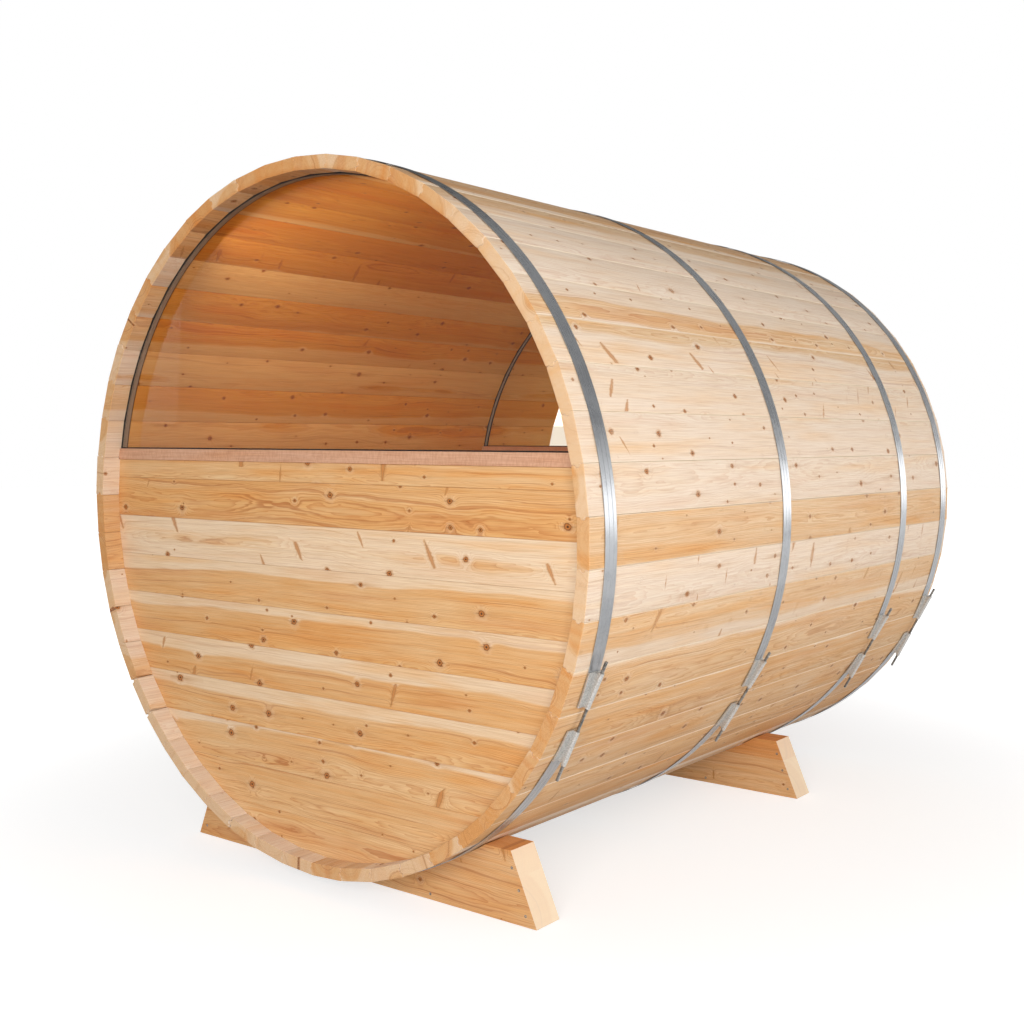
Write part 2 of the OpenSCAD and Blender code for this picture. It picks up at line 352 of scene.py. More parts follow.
wander = wire.noise(wire.vector(along, board_lane), scale=0.8, detail=3.0)
rise = wire.noise(wire.vector(along, board_lane, 4.0), scale=1.2, detail=3.0)
small_place = wire.vector(along, wire.times(given["Across"], 9.0), board_lane)
small = wire.noise(small_place, scale=7.0)
side = wire.minus(given["Across"], given["Pith"])
side = wire.plus(side, wire.ramp(wander, 0.2, 0.8, -0.035, 0.035, smooth=False))
down = wire.times_plus(first[2], PITH_SPREAD, NEAREST_PITH)
down = wire.plus(down, wire.size(given["Depth"]))
down = wire.plus(down, wire.ramp(rise, 0.2, 0.8, -0.018, 0.018, smooth=False))
ring = wire.length(side, down)
ring = wire.plus(ring, wire.ramp(small, 0.2, 0.8, -0.0025, 0.0025, smooth=False))
ring = wire.times_plus(knot["Hump"], 1.9, ring)

ring_width = wire.times_plus(second[0], RING_SPREAD, NARROWEST_RING)
year = wire.over(ring, ring_width)
late = wire.calc("POWER", wire.calc("FRACT", year), 3.0)
age = wire.vector(wire.times(ring, 90.0), board_lane)
band = wire.ramp(wire.noise(age, detail=3.0, roughness=0.7), 0.3, 0.7)
dark_age = wire.vector(wire.times(ring, 150.0), board_lane, wire.times(along, 0.8))
dark_years = wire.ramp(wire.noise(dark_age, detail=2.0, roughness=0.6), 0.58, 0.7)
fibre_place = wire.vector(
    wire.times(along, 7.0),
    wire.times(given["Across"], 420.0),
    wire.times_plus(given["Depth"], 420.0, board_lane),
)
fibre = wire.noise(fibre_place, detail=3.0, roughness=0.6)
streak = board_noise(1.8, 55.0, detail=3.0, roughness=0.6)
cloud = board_noise(3.5, 8.0)

sap_start = wire.between(given["Sapwood"], 0.19, 0.0)
sap = wire.ramp(wire.minus(ring, sap_start), -0.005, 0.006)

warmth = wire.times_plus(wire.minus(band, 0.5), 0.5, given["Tone"])
warmth = wire.times_plus(wire.minus(streak, 0.5), 1.4, warmth)
warmth = wire.times_plus(wire.minus(cloud, 0.5), 1.0, warmth)
HEART_PALE = linear(237, 209, 173)
HEART_DEEP = linear(229, 182, 128)
SAP_CREAM = linear(239, 214, 184)
SAP_WHITE = linear(242, 224, 204)
LATE_TINT = linear(214, 160, 116)
DARK_TINT = linear(196, 140, 100)
FIBRE_TINT = linear(216, 196, 176)
AMBER_TINT = linear(254, 227, 184)
ROSE_TINT = linear(246, 230, 220)
heart = wire.mix(wire.between(warmth, 0.0, 1.0), HEART_PALE, HEART_DEEP)
sap_colour = wire.mix(wire.between(warmth, 0.0, 1.0), SAP_WHITE, SAP_CREAM)
wood = wire.mix(sap, heart, sap_colour)
patch = board_noise(1.3, 14.0, detail=3.0, roughness=0.55)
heart_only = wire.between(sap, 0.75, 0.48)
amber = wire.times(wire.ramp(patch, 0.52, 0.72), heart_only)
wood = wire.tinted(amber, wood, AMBER_TINT)
rose = wire.times(wire.ramp(patch, 0.46, 0.3), heart_only)
wood = wire.tinted(rose, wood, ROSE_TINT)
late_share = wire.times(late, wire.between(sap, 0.5, 0.28))
wood = wire.tinted(late_share, wood, LATE_TINT)
dark_share = wire.times(dark_years, wire.between(sap, 0.42, 0.24))
wood = wire.tinted(dark_share, wood, DARK_TINT)
fibre_share = wire.ramp(fibre, 0.35, 0.75, 0.0, 0.5)
wood = wire.tinted(fibre_share, wood, FIBRE_TINT)

TRAIL_BROWN = linear(188, 136, 88)
HALO_BROWN = linear(204, 148, 94)
KNOT_RIM = linear(122, 76, 42)
KNOT_FACE = linear(190, 122, 66)
KNOT_HEART = linear(80, 47, 27)
smear = wire.times(knot["Trail"], wire.ramp(streak, 0.3, 0.7, 0.2, 0.8))
wood = wire.mix(smear, wood, TRAIL_BROWN)
glow = wire.ramp(knot["Edge"], 1.0, 3.0, 0.45, 0.0)
glow = wire.times(glow, knot["Present"])
glow = wire.times(glow, wire.ramp(knot["Dark"], 0.5, 1.0))
glow = wire.times(glow, wire.ramp(fibre, 0.35, 0.65, 0.4, 1.0))
wood = wire.mix(glow, wood, SAP_WHITE)
halo = wire.ramp(knot["Edge"], 1.0, 2.1, 0.65, 0.0)
halo = wire.times(halo, knot["Present"])
wood = wire.mix(halo, wood, HALO_BROWN)
wood = wire.mix(wire.times(knot["Check"], 0.6), wood, KNOT_RIM)
core = wire.ramp(knot["Edge"], 0.9, 1.12, 1.0, 0.0)
core = wire.times(core, knot["Present"])
core_ring = wire.ramp(knot["Edge"], 0.62, 0.9, 0.0, 1.0)
knot_colour = wire.mix(core_ring, KNOT_FACE, KNOT_RIM)
heart_share = wire.times(wire.ramp(knot["Edge"], 0.2, 0.5, 1.0, 0.0), knot["Dark"])
knot_colour = wire.mix(heart_share, knot_colour, KNOT_HEART)
strength = wire.ramp(knot["Dark"], -0.2, 0.8, 0.38, 0.95, smooth=False)
wood = wire.mix(wire.times(core, strength), wood, knot_colour)

planed = wire.ramp(board_noise(190.0, 60.0, detail=3.0), 0.35, 0.7)
planed = wire.times(planed, given["Planing"])
wood = wire.tinted(planed, wood, FIBRE_TINT)
wire.feed(made["Pale"], sap)

roughness = wire.ramp(fibre, 0.2, 0.8, 0.52, 0.7, smooth=False)
roughness = wire.times_plus(core, -0.14, roughness)
height = wire.times_plus(late, 0.3, wire.times(fibre, 0.5))
height = wire.times_plus(core, 0.3, height)
wire.feed(made["Color"], wood)
wire.feed(made["Roughness"], roughness)
wire.feed(made["Height"], height)
print("nodes in the cedar group:", len(cedar.nodes))

# %% [markdown]
# ## Finishes made of cedar
# The staves, the wall boards, the sills and the cradles are all cedar, but each is
# measured its own way. So one function makes the material and takes four sums from its
# caller: the place across, along and into the board, and the board's own number. End
# faces show darker, thirstier end grain, which the surface's own direction tells.

# %% Finishes made of cedar
NO_TINT = (1.0, 1.0, 1.0)
# The dark orange tint below is painted shade: it darkens the wood inside the room and in the near
# recess, in place of the shade and warm bounced light there.
INDOOR_SHADE_TINT = (0.88, 0.54, 0.14)
# The cream below is a painted highlight for the staves' long edges, as if their eased arrises caught
# the light.
EDGE_HIGHLIGHT_CREAM = linear(246, 230, 206)
END_TINT = linear(246, 229, 205)
PALE_END = linear(246, 231, 205)
GRAIN_DEPTH = 0.0007


def cedar_material(
    name, place, tone, sapwood, pith, knots_share, end_axis,
    knot_size=0.8, planing=0.0, tint=NO_TINT, pale_ends=0.0, highlight_edge_half=None, indoor_shade=None,
):
    """A cedar finish. place(wire) gives its sums for across, along, depth and board."""
    material, wire = new_material(name)
    sums = place(wire)
    grain = wire.add("ShaderNodeGroup", dict(zip(MEASURES, sums)), node_tree=cedar)
    for label, value in zip(CHOICES, (tone, sapwood, pith, knots_share, knot_size, planing)):
        wire.feed(grain.inputs[label], value(wire, sums) if callable(value) else value)
    facing = wire.add("ShaderNodeNewGeometry").outputs["True Normal"]
    square = wire.size(wire.split(facing)[end_axis])
    ends = wire.ramp(square, 0.45, 0.8)
    colour = grain.outputs["Color"]
    if tint != NO_TINT:
        kept = wire.ramp(grain.outputs["Pale"], 0.0, 1.0, 1.0, 0.7)
        colour = wire.tinted(kept, colour, tint)
    # Painted highlight: a cream line along both long edges of a stave's outer and inner faces, faded
    # out on end faces.
    if highlight_edge_half:
        edge = wire.size(sums[0])
        edge = wire.ramp(edge, highlight_edge_half - 0.0034, highlight_edge_half - 0.0016, 0.0, 0.6)
        edge = wire.times(edge, wire.ramp(square, 0.05, 0.3, 1.0, 0.0))
        colour = wire.mix(edge, colour, EDGE_HIGHLIGHT_CREAM)
    end_tint = wire.mix(1.0, colour, END_TINT, "MULTIPLY")
    end_tint = wire.mix(pale_ends, end_tint, PALE_END)
    colour = wire.mix(ends, colour, end_tint)
    # Painted shade: where the stored share says so, the colour is multiplied by the dark orange
    # indoor tint, a little less on sapwood.
    if indoor_shade:
        painted_shade = wire.ramp(grain.outputs["Pale"], 0.0, 1.0, 1.0, 0.86)
        painted_shade = wire.times(painted_shade, indoor_shade(wire, sums))
        colour = wire.tinted(painted_shade, colour, INDOOR_SHADE_TINT)
    values = {"IOR": 1.45, "Specular IOR Level": 0.3}
    wire.skin(colour, grain.outputs["Roughness"], grain.outputs["Height"], GRAIN_DEPTH, **values)
    return material


def set_finish(node, material):
    """Gives a part of the frame its finish."""
    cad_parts[node].data.materials.clear()
    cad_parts[node].data.materials.append(material)


def stored(name):
    """Reads a number that was stored on the mesh."""
    def read(wire, sums=None):
        node = wire.add("ShaderNodeAttribute", attribute_name=name)
        return node.outputs["Fac"]
    return read


def stave_place(wire):
    """The staves keep their own measure in an attribute on each point."""
    node = wire.add("ShaderNodeAttribute", attribute_name="grain_place")
    across, along, depth = wire.split(node.outputs["Vector"])
    return across, along, depth, stored("board")(wire)


stave_cedar = cedar_material(
    "Cedar staves",
    stave_place,
    tone=stored("tone"),
    sapwood=stored("sapwood"),
    pith=stored("pith"),
    knots_share=0.54,
    end_axis=1,
    # A painted highlight along each stave's long edges.
    highlight_edge_half=outer_face * math.tan(stave_angle / 2),
    # Painted shade on the staves' inner faces, read from the mesh.
    indoor_shade=stored("indoor_shade"),
    knot_size=0.9,
)
print("made", stave_cedar.name)

# %% [markdown]
# ## Rings of points
# A stave, a hoop, a rod, a nut and a screw head have one thing in common: the same
# outline comes back again and again, at the next place or the next size. So each is
# made of rings of points, and one function lays the faces between them. It closes both
# ends, or joins the last ring to the first where the outline goes all the way round.

# %% Rings of points
def rings_to_faces(base, rings, count, all_round=False):
    """The faces between rings of points, and the two that close the ends."""
    faces = []
    for ring in range(rings if all_round else rings - 1):
        low = base + ring * count
        high = base + (ring + 1) % rings * count
        for number in range(count):
            after = (number + 1) % count
            faces.append((low + number, high + number, high + after, low + after))
    if not all_round:
        last = base + (rings - 1) * count
        faces.append(tuple(base + number for number in range(count)))
        faces.append(tuple(last + number for number in reversed(range(count))))
    return faces


def add_object(name, data):
    """A new object of the scene, made from a mesh, a lamp or a camera."""
    added = bpy.data.objects.new(name, data)
    bpy.context.scene.collection.objects.link(added)
    return added


def new_mesh(name, points, faces):
    """A mesh from its points and faces."""
    mesh = bpy.data.meshes.new(name)
    mesh.from_pydata(points, [], faces)
    return mesh


print("rings of points can now be joined")

# %% [markdown]
# ## The staves' section
# Barrel staves are planed with a rounded bead on one edge and a matching cove on the
# other, so that they turn on each other around the tub and stay tight. The section is
# drawn as a ring of points, a flat arc for the bead, a hollow one for the cove and a
# small curve on each arris, because a planed edge is never left sharp.

# %% The staves' section
STAVE_GAP = 0.0004
BEAD_RADIUS = 0.008
ARRIS = 0.0028
ARC_STEPS = 8


def eased(before, corner, after, size):
    """Three points that round a corner off."""
    first = corner + (before - corner).normalized() * size
    last = corner + (after - corner).normalized() * size
    return [first, first * 0.25 + corner * 0.5 + last * 0.25, last]


def stave_section():
    """Points (across, from the axis) round a stave, and which belong to its inner face."""
    half = math.tan(stave_angle / 2)
    outer_right = Vector((outer_face * half - STAVE_GAP / 2, outer_face))
    inner_right = Vector((inner_face * half - STAVE_GAP / 2, inner_face))
    outer_left = Vector((-outer_right.x, outer_face))
    inner_left = Vector((-inner_right.x, inner_face))
    middle = inner_face + stave_thickness / 2
    bead = Vector((middle * half - STAVE_GAP / 2, middle))
    cove = Vector((-bead.x - STAVE_GAP, middle))
    up_right = (outer_right - inner_right).normalized()
    out_right = Vector((up_right.y, -up_right.x))
    up_left = (outer_left - inner_left).normalized()
    in_left = Vector((up_left.y, -up_left.x))
    points = eased(outer_left + up_left * -1, outer_left, outer_right, ARRIS)
    points += eased(outer_left, outer_right, inner_right, ARRIS)
    for step in range(ARC_STEPS + 1):
        turn = math.pi / 2 - math.pi * step / ARC_STEPS
        points.append(bead + (up_right * math.sin(turn) + out_right * math.cos(turn)) * BEAD_RADIUS)
    first_inner = len(points)
    points += eased(outer_right, inner_right, inner_left, ARRIS)
    points += eased(inner_right, inner_left, outer_left, ARRIS)
    inner = set(range(first_inner, len(points)))
    reach = BEAD_RADIUS + STAVE_GAP
    widest = math.acos(STAVE_GAP / reach)
    for step in range(ARC_STEPS + 1):
        turn = -widest + 2 * widest * step / ARC_STEPS
        points.append(cove + (up_left * math.sin(turn) + in_left * math.cos(turn)) * reach)
    return points, inner


section, inner_points = stave_section()
print("points round a stave:", len(section))

# %% [markdown]
# ## Every stave its own
# Cedar is sorted by hand, and a tub mixes white sapwood, cream, honey and orange
# heartwood. A letter stands for each stave, from the joint at the top clockwise as
# seen from the near end. The letters set the heartwood's tone and how much sapwood
# shows. A few staves have also dried away from a neighbour at the near end, and their
# ends don't line up to the millimetre.

# %% Every stave its own
STAVE_LOOKS = "hhhmhcwccccshwshmhmohscshccswccwshssoosshcmhsmohmo"
LOOKS = {
    "w": (0.05, 1.00),
    "c": (0.25, 0.86),
    "s": (0.32, 0.68),
    "h": (0.45, 0.50),
    "m": (0.68, 0.36),
    "o": (0.95, 0.15),
}
OPEN_JOINTS = {33: 0.012, 32: 0.009, 28: 0.006, 22: 0.005}
OPEN_LENGTH = 0.11
END_EASE = 0.0012
END_SCATTER = 0.0022
GROOVE_CLEAR = 0.0003
GROOVE_STEP = 0.0001
STAVE_TILT = 0.0008
STAVE_SINK = 0.0005
EDGE_SHARE = 0.7
END_REACH = 0.004
# The next two set how much painted shade the staves' inner faces take, in the near recess and inside
# the room.
RECESS_PAINTED_SHADE = 0.35
ROOM_PAINTED_SHADE = 1.0
STORED = ("grain_place", "board", "tone", "sapwood", "pith", "indoor_shade")


def groove_stations(height):
    """Where the two end walls' grooves start and stop, for a stave at this height."""
    sill_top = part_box("near_sill")[1].z
    holds = "_gasket" if height > sill_top else "_wall_boards"
    found = []
    for wall in ("near", "far"):
        low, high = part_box(wall + holds)
        found.append((low.y - GROOVE_CLEAR, high.y + GROOVE_CLEAR))
    return found


room_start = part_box("near_wall_boards")[0].y + 0.001
groove_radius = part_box("near_wall_boards")[1].x + GROOVE_CLEAR
groove_depth = groove_radius - inner_face
print("grooves are", round(groove_depth * 1000, 1), "mm deep")


def stave_rings(index, dice):
    """The stations along one stave: place, groove depth, and how far the end is eased."""
    start = near_end + dice.uniform(0.0, END_SCATTER)
    stop = far_end - dice.uniform(0.0, END_SCATTER)
    angle = (index + 0.5) * stave_angle
    height = axis_height + inner_face * math.cos(angle)
    rings = [(start, 0.0, END_EASE), (start + END_EASE, 0.0, 0.0)]
    for low, high in groove_stations(height):
        rings.append((low, 0.0, 0.0))
        rings.append((low + GROOVE_STEP, groove_depth, 0.0))
        rings.append((high - GROOVE_STEP, groove_depth, 0.0))
        rings.append((high, 0.0, 0.0))
    rings.append((near_end + OPEN_LENGTH + 0.05, 0.0, 0.0))
    rings.append((stop - END_EASE, 0.0, 0.0))
    rings.append((stop, 0.0, END_EASE))
    return sorted(rings)


def opening(joint, place):
    """Half of how far a joint stands open at a place along the barrel."""
    run = (place - near_end) / OPEN_LENGTH
    return OPEN_JOINTS.get(joint % stave_count, 0.0) / 2 * max(0.0, 1 - run) ** 1.5


def indoor_painted_shade(place, turn):
    """How much painted shade a stave's inner face takes at a place along the barrel: all of it inside
    the room, and in the near recess most on the top staves, whose inner faces look down.
    """
    if place > room_start:
        return ROOM_PAINTED_SHADE
    return RECESS_PAINTED_SHADE * max(0.0, math.cos(turn))


def stave_mesh(name, indices):
    """One mesh that holds these staves, each with its own numbers stored on its points."""
    points = []
    faces = []
    numbers = {label: [] for label in STORED}
    middle = inner_face + stave_thickness / 2
    half_width = outer_face * math.tan(stave_angle / 2)
    for index in indices:
        dice = random.Random(400 + index)
        tone, sapwood = LOOKS[STAVE_LOOKS[index]]
        tone += dice.uniform(-0.12, 0.12)
        sapwood += dice.uniform(-0.1, 0.1)
        pith = dice.choice((-1, 1)) * dice.uniform(0.01, 0.075)
        flipped = dice.random() < 0.5
        tilt = dice.uniform(-STAVE_TILT, STAVE_TILT)
        proud = dice.uniform(-STAVE_SINK, 0.0)
        turn = (index + 0.5) * stave_angle
        rings = stave_rings(index, dice)
        base = len(points)
        for place, groove, ease in rings:
            for number, (across, out) in enumerate(section):
                inside = number in inner_points
                if ease:
                    across *= 1 - ease / half_width
                    out = middle + (out - middle) * (1 - 2 * ease / stave_thickness)
                if inside:
                    out += groove
                share = across / half_width
                if share > EDGE_SHARE:
                    across -= opening(index + 1, place)
                if share < -EDGE_SHARE:
                    across += opening(index, place)
                at_end = place <= near_end + END_REACH or place >= far_end - END_REACH
                shift = (tilt * share + STAVE_TILT) * (1 if place < 0 else -1) if at_end else 0.0
                out += proud
                x = across * math.cos(turn) + out * math.sin(turn)
                z = out * math.cos(turn) - across * math.sin(turn)
                points.append((x, place + shift, axis_height + z))
                depth = out - inner_face
                depth = stave_thickness - depth if flipped else depth
                # The number stored here is the painted shade of an inner face, not the heartwood's
                # tone.
                warmth = indoor_painted_shade(place, turn) if inside else 0.0
                values = ((across, place, depth), index + 1.0, tone, sapwood, pith, warmth)
                for label, value in zip(STORED, values):
                    numbers[label].append(value)
        faces += rings_to_faces(base, len(rings), len(section))
    mesh = new_mesh(name, points, faces)
    for label, values in numbers.items():
        kind = "FLOAT_VECTOR" if label == "grain_place" else "FLOAT"
        attribute = mesh.attributes.new(label, kind, "POINT")
        field = "vector" if kind == "FLOAT_VECTOR" else "value"
        attribute.data.foreach_set(field, np.array(values, np.float32).ravel())
    return mesh


def finish_mesh(mesh, material, smooth_angle):
    """Gives a mesh its finish, turns its faces outwards and rounds only its soft edges."""
    shape = bmesh.new()
    shape.from_mesh(mesh)
    bmesh.ops.recalc_face_normals(shape, faces=shape.faces)
    shape.to_mesh(mesh)
    shape.free()
    mesh.materials.append(material)
    for polygon in mesh.polygons:
        polygon.use_smooth = True
    mesh.set_sharp_from_angle(angle=math.radians(smooth_angle))


def place_piece(mesh, material, slot, *nodes, smooth_angle=35):
    """Finishes a piece and puts it in place of the plain parts that it stands for."""
    finish_mesh(mesh, material, smooth_angle)
    piece = add_object(mesh.name, mesh)
    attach(piece, "root")
    if nodes:
        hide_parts(*nodes)


GROUP_ORDER = ["right_top", "right_shoulder", "right_side", "right_hip", "right_bottom"]
GROUP_ORDER += [name.replace("right", "left") for name in reversed(GROUP_ORDER)]
per_group = stave_count // len(GROUP_ORDER)
for order, group in enumerate(GROUP_ORDER):
    indices = range(order * per_group, (order + 1) * per_group)
    mesh = stave_mesh(group + "_planed_staves", indices)
    place_piece(mesh, stave_cedar, "cedar_staves", group + "_staves")
print("staves to a piece:", per_group)

# %% [markdown]
# ## The solids inside one part
# Some parts of the frame hold several solids, such as ten boards or two nuts. Their
# corners are doubled where the shading breaks, so the mesh is welded in a copy first,
# and then each connected shell is one solid.

# %% Find the solids inside a part
def solids(node):
    """The corner points of each solid in a part, one array to a solid."""
    shape = bmesh.new()
    shape.from_mesh(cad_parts[node].data)
    bmesh.ops.remove_doubles(shape, verts=shape.verts, dist=1e-6)
    left = set(shape.verts)
    found = []
    while left:
        front = [left.pop()]
        shell = []
        while front:
            vertex = front.pop()
            shell.append(tuple(vertex.co))
            for edge in vertex.link_edges:
                other = edge.other_vert(vertex)
                if other in left:
                    left.remove(other)
                    front.append(other)
        found.append(np.array(shell))
    shape.free()
    return found


board_spans = [(shell[:, 2].min(), shell[:, 2].max()) for shell in solids("near_wall_boards")]
board_spans.sort(reverse=True)
first_joint = (board_spans[0][0] + board_spans[1][1]) / 2
board_cover = (board_spans[1][0] - board_spans[2][0])
print("boards in a wall:", len(board_spans), "covering", round(board_cover, 4), "each")

# %% [markdown]
# ## The end walls
# The walls are boards laid flat on each other, and each has its own colour. The board
# that a point belongs to follows from its height, so the CAD part can stay one piece.
# A colour ramp with hard steps keeps the makers' choice for each board: its red is the
# heartwood's tone, its green the share of sapwood and its blue the pith's place.

# %% The end walls
WALL_TINT = (0.99, 0.90, 0.74)
BOARD_LOOKS = [
    (0.40, 0.45, 0.25),
    (0.85, 0.34, 0.55),
    (0.22, 0.78, 0.60),
    (0.60, 0.42, 0.10),
    (0.60, 0.42, 0.16),
    (0.65, 0.48, 0.12),
    (0.60, 0.46, 0.20),
    (0.40, 0.48, 0.30),
    (0.40, 0.44, 0.45),
    (0.35, 0.54, 0.70),
]


def choice(looks, part, low, high, first_number):
    """Reads one of a board's choices from a stepped ramp, as a number from low to high."""
    def read(wire, sums):
        number = wire.minus(sums[3], first_number - 0.5)
        share = wire.over(number, len(looks))
        node = wire.add("ShaderNodeValToRGB", {"Fac": share})
        steps = node.color_ramp
        steps.interpolation = "CONSTANT"
        for index, look in enumerate(looks):
            if index < len(steps.elements):
                step = steps.elements[index]
                step.position = index / len(looks)
            else:
                step = steps.elements.new(index / len(looks))
            step.color = (*look, 1.0)
        value = wire.split(node.outputs["Color"])[part]
        return wire.between(value, low, high)
    return read


def wall_place(face, inwards, first_number):
    """The measure of a wall: along X, across its height and in from its outer face."""
    def measure(wire):
        x, y, z = wire.split(wire.place())
        down = wire.minus(first_joint, z)
        course = wire.calc("FLOOR", wire.over(down, board_cover))
        course = wire.calc("MAXIMUM", course, -1.0)
        middle = wire.times_plus(course, board_cover, board_cover / 2)
        across = wire.minus(middle, down)
        depth = wire.times(wire.minus(y, face), inwards)
        return across, x, depth, wire.plus(course, first_number + 1.0)
    return measure


def room_side_shade(wire, sums):
    """1 on the wall's face towards the room, which takes painted shade."""
    return wire.calc("GREATER_THAN", sums[2], wall_thickness - 0.001)


low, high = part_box("near_wall_boards")
wall_thickness = high.y - low.y
WALLS = {"near": (low.y, 1.0, 100.0)}
WALLS["far"] = (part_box("far_wall_boards")[1].y, -1.0, 140.0)
for wall, (face, inwards, number) in WALLS.items():
    looks = BOARD_LOOKS if wall == "near" else BOARD_LOOKS[::-1]
    finish = cedar_material(
        "Cedar boards of the " + wall + " wall",
        wall_place(face, inwards, number),
        tone=choice(looks, 0, 0.0, 1.0, number),
        sapwood=choice(looks, 1, 0.0, 1.0, number),
        pith=choice(looks, 2, -0.09, 0.05, number),
        knots_share=0.42,
        end_axis=0,
        knot_size=1.15,
        tint=WALL_TINT,
        # Painted shade on the wall's face towards the room.
        indoor_shade=room_side_shade,
    )
    set_finish(wall + "_wall_boards", finish)
print("walls finished:", len(WALLS))

# %% [markdown]
# ## Sills and cradles
# The sill is a planed rail with a pinkish cast, and the cradles are stacked timbers.
# All of them lie along X, so one measure serves them. The number that makes each piece
# of wood its own is kept on the object, and the shader reads it from there.

# %% Sills and cradles
def level_place(node):
    """The measure of a timber that lies along X."""
    low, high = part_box(node)
    middle = (low + high) / 2

    def measure(wire):
        x, y, z = wire.split(wire.place())
        across = wire.minus(z, middle.z)
        depth = wire.minus(y, low.y)
        number = wire.add("ShaderNodeAttribute", attribute_type="OBJECT", attribute_name="board")
        return across, x, depth, number.outputs["Fac"]
    return measure


PINKISH = (0.71, 0.38, 0.24)
HONEY = (1.0, 0.90, 0.76)
ORANGE = (1.0, 0.80, 0.60)
TIMBERS = {
    "near_sill": (201.0, 0.30, 0.10, -0.30, 0.0, PINKISH),
    "far_sill": (203.0, 0.30, 0.10, 0.30, 0.0, PINKISH),
    "near_cradle_beam": (211.0, 0.62, 0.30, -0.03, 0.25, HONEY),
    "near_cradle_blocks": (214.0, 0.60, 0.30, 0.02, 0.20, HONEY),
    "far_cradle_beam": (216.0, 0.30, 0.42, -0.05, 0.30, HONEY),
    "far_cradle_blocks": (219.0, 0.90, 0.15, 0.03, 0.15, ORANGE),
}
for node, (number, tone, sapwood, pith, share, tint) in TIMBERS.items():
    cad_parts[node]["board"] = number
    finish = cedar_material(
        "Cedar of the " + node.replace("_", " "),
        level_place(node),
        tone=tone,
        sapwood=sapwood,
        pith=pith,
        knots_share=share,
        end_axis=0,
        tint=tint,
        pale_ends=0.7,
        planing=0.35 if node.endswith("sill") else 0.0,
    )
    set_finish(node, finish)
print("timbers finished:", len(TIMBERS))

# %% [markdown]
# ## The half-moon panes
# Each pane is clear bronze glass in a rubber gasket. Real glass bends and tints the
# light that goes through it. A lamp's light would need a long path to find its way
# through, so for shadow rays and scattered light the pane is a plain tinted film, and
# the room behind it is lit as it would be.

# %% The half-moon panes
BRONZE = linear(250, 243, 232)
FILM = linear(253, 251, 249)
LIP_BLACK = linear(30, 27, 25)
STRIP_BROWN = linear(136, 117, 103)
STRIP_DUST = linear(160, 141, 124)
glass, wire = new_material("Bronze glass")
ray = wire.add("ShaderNodeLightPath").outputs
pane = wire.add(
    "ShaderNodeBsdfPrincipled",
    {
        "Base Color": BRONZE,
        "Roughness": 0.0,
        "IOR": 1.45,
        "Specular Tint": (0.15, 0.15, 0.15, 1.0),
        "Transmission Weight": 1.0,
    },
)
film = wire.add("ShaderNodeBsdfTransparent", {"Color": FILM})
passing = wire.calc("MAXIMUM", ray["Is Shadow Ray"], ray["Is Diffuse Ray"])
both = wire.add("ShaderNodeMixShader")
wire.feed(both.inputs["Fac"], passing)
wire.feed(both.inputs[1], pane.outputs[0])
wire.feed(both.inputs[2], film.outputs[0])
wire.finish("ShaderNodeOutputMaterial", both)


def rubber_material(name, face, inwards):
    """A gasket: a black lip in front of the pane and a dusty brown strip behind it."""
    low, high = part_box("near_gasket")
    strip_end = high.y - low.y
    material, wire = new_material(name)
    where = wire.place()
    in_from_face = wire.minus(wire.split(where)[1], face)
    in_from_face = wire.times(in_from_face, inwards)
    strip = wire.ramp(in_from_face, 0.0032, 0.0045)
    back_edge = wire.ramp(in_from_face, strip_end - 0.003, strip_end - 0.002, 1.0, 0.0)
    strip = wire.times(strip, back_edge)
    dust = wire.noise(where, scale=60.0, detail=4.0, roughness=0.65)
    strip_colour = wire.mix(dust, STRIP_BROWN, STRIP_DUST)
    colour = wire.mix(strip, LIP_BLACK, strip_colour)
    roughness = wire.ramp(dust, 0.2, 0.8, 0.5, 0.7)
    wire.skin(colour, roughness, dust, 0.0004, strength=0.3, IOR=1.5)
    return material


for wall, (face, inwards, number) in WALLS.items():
    set_finish(wall + "_glass", glass)
    set_finish(wall + "_gasket", rubber_material("Rubber of the " + wall + " gasket", face, inwards))
print("panes set:", len(WALLS))

# %% [markdown]
# ## Metal wear
# Rolled bands, cast lugs and threaded rods share one thing: handling leaves them with
# cloudy stains and fine marks. One group makes both from noise. The marks run long in
# one direction, so its input is a place that the caller has already stretched.

# %% The metal wear group
wear, wire, given, made = shader_group(
    "Metal wear",
    {"Place": "Vector", "Marks": "Vector", "Grain": "Float", "Low": "Float", "High": "Float"},
    {"Stain": "Float", "Roughness": "Float", "Height": "Float"},
)
stain = wire.noise(given["Place"], scale=given["Grain"], detail=4.0, roughness=0.6)
mark = wire.noise(given["Marks"], scale=1.0, detail=4.0, roughness=0.65)
blend = wire.plus(wire.times(stain, 0.5), wire.times(mark, 0.5))
share = wire.ramp(blend, 0.3, 0.7, smooth=False)
span = wire.minus(given["High"], given["Low"])
wire.feed(made["Stain"], wire.ramp(stain, 0.3, 0.7))
wire.feed(made["Roughness"], wire.times_plus(share, span, given["Low"]))
wire.feed(made["Height"], mark)


def metal_material(name, dull, bright, rough, stretch, bump_depth, grain):
    """A metal finish. stretch gives the marks' density around, along and out from the axis."""
    material, wire = new_material(name)
    where = wire.place()
    x, y, z = wire.split(where)
    up = wire.minus(z, axis_height)
    turn = wire.calc("ARCTAN2", x, up)
    out = wire.length(x, up)
    marks = wire.vector(
        wire.times(turn, barrel_radius * stretch[0]),
        wire.times(y, stretch[1]),
        wire.times(out, stretch[2]),
    )
    inputs = {"Place": where, "Marks": marks, "Grain": grain, "Low": rough[0], "High": rough[1]}
    used = wire.add("ShaderNodeGroup", inputs, node_tree=wear).outputs
    colour = wire.mix(used["Stain"], dull, bright)
    wire.skin(colour, used["Roughness"], used["Height"], bump_depth, Metallic=1.0)
    return material


